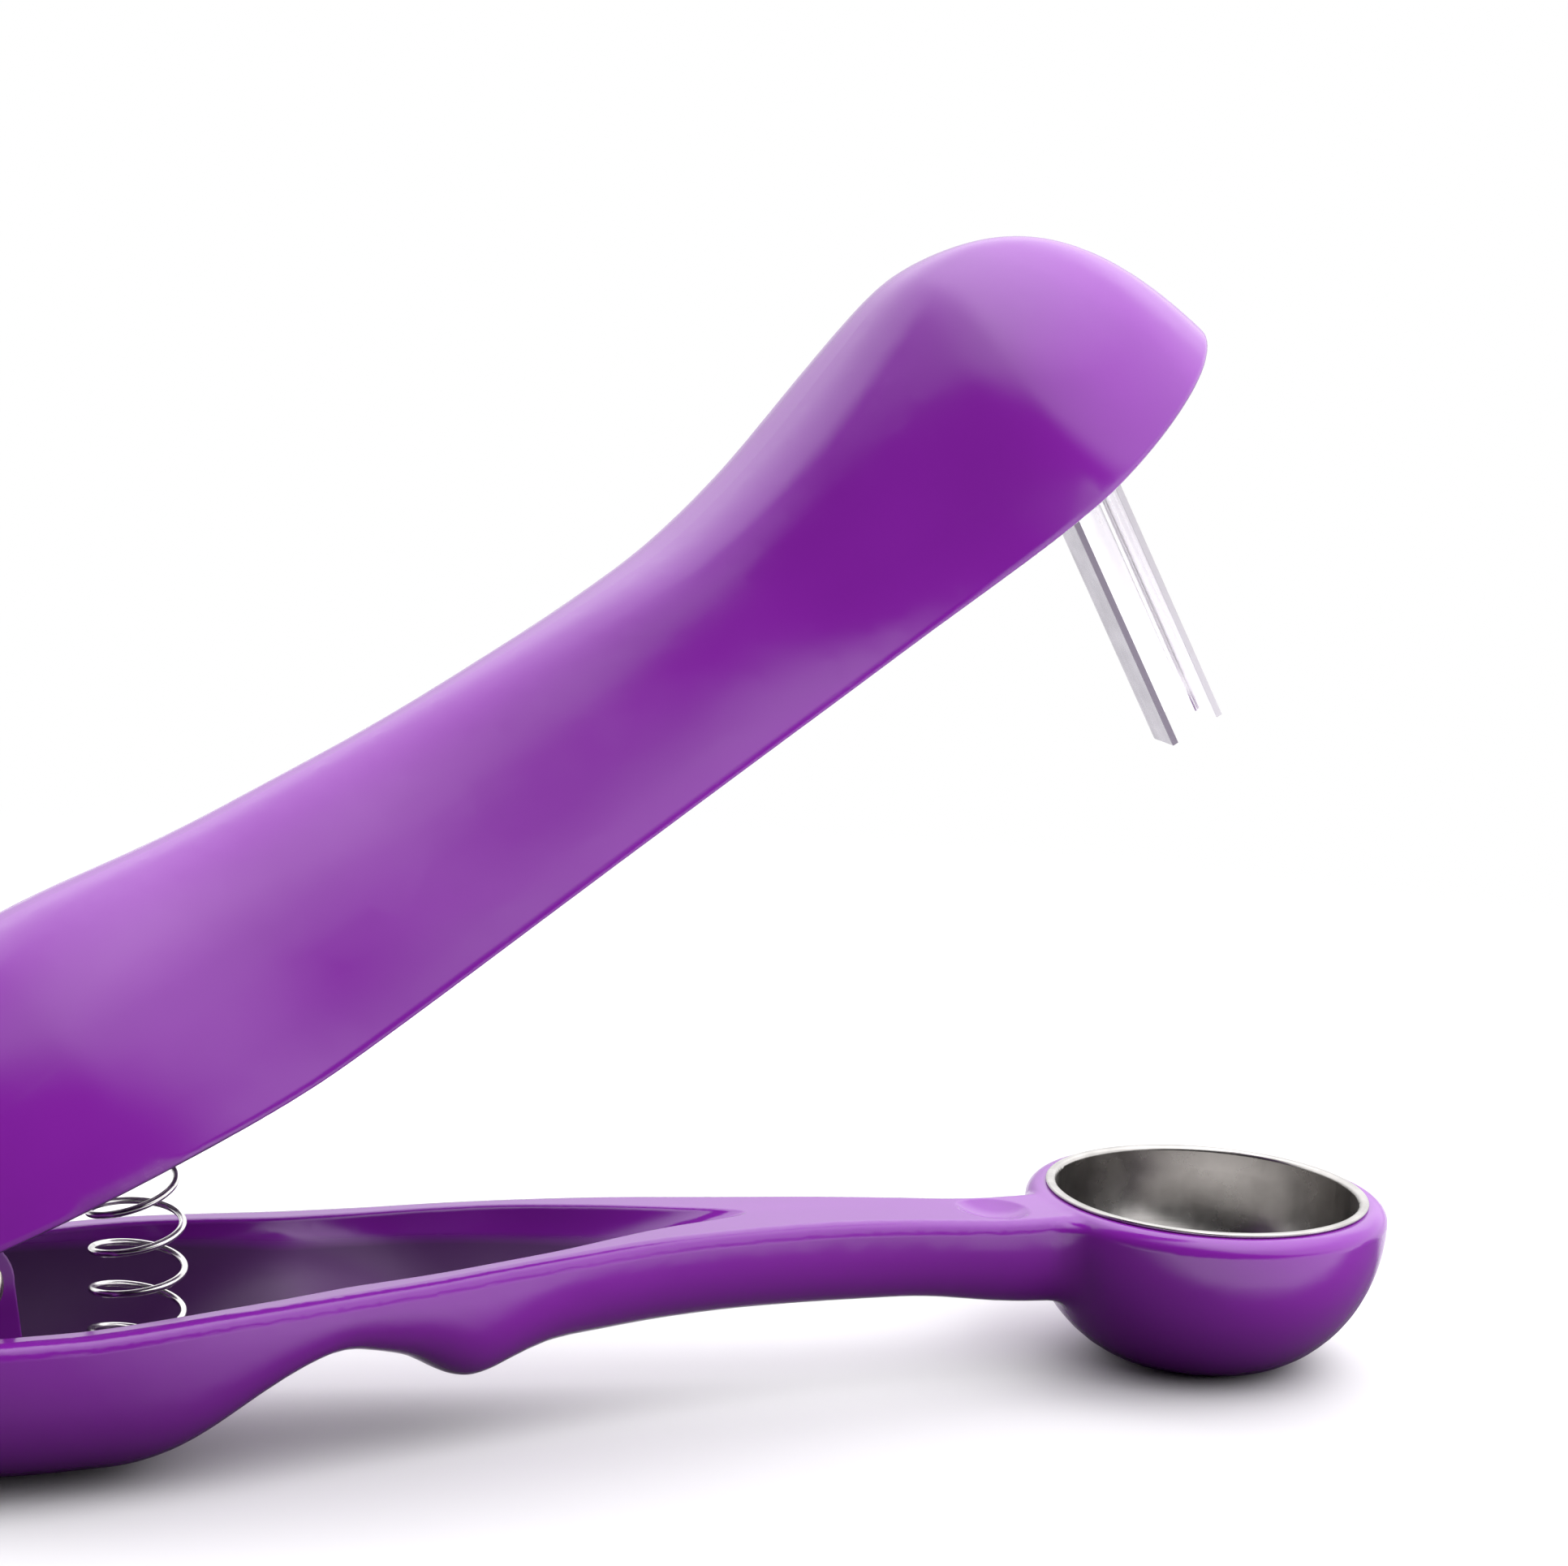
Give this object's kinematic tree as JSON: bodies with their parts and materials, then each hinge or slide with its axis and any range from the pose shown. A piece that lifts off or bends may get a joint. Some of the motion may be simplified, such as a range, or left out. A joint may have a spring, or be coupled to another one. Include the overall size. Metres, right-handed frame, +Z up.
{
  "type": "olive pitter",
  "caption": "Hand pitter for olives and cherries: lower lever with a steel-lined cup, upper lever with a hood and a steel pusher, hinged at the grip and held open by a coil spring.",
  "frame": {"origin": "centre of the pit exit on the cup's flat foot, which is on the floor when the tool stands level", "axes": "+Z up, +X from the grip to the cup along the tool, +Y across the tool along the pivot pin"},
  "size_m": [0.1375, 0.0304, 0.0931],
  "materials": {
    "moulded_plastic": "glossy injection-moulded ABS, violet",
    "stainless_sheet": "drawn and punched stainless sheet, fine satin",
    "spring_wire": "bright drawn stainless spring wire",
    "plated_pin": "bright nickel-plated steel"
  },
  "bodies": {
    "lower": {"lower_arm": "moulded_plastic", "cup_liner": "stainless_sheet", "pivot_pin": "plated_pin", "pivot_push_nut": "plated_pin", "return_spring": "spring_wire"},
    "upper": {"upper_arm": "moulded_plastic", "pusher": "stainless_sheet", "pusher_pin": "plated_pin"}
  },
  "joints": [
    {"name": "lever_pivot", "type": "hinge", "parent": "lower", "child": "upper", "pos_m": [-0.1071, 0, 0.0156], "axis": [0, 1, 0], "range_deg": [0, 34.8], "stiffness_Nm_per_rad": 0.5, "springref_deg": -11.46, "deforming": ["return_spring"]}
  ]
}
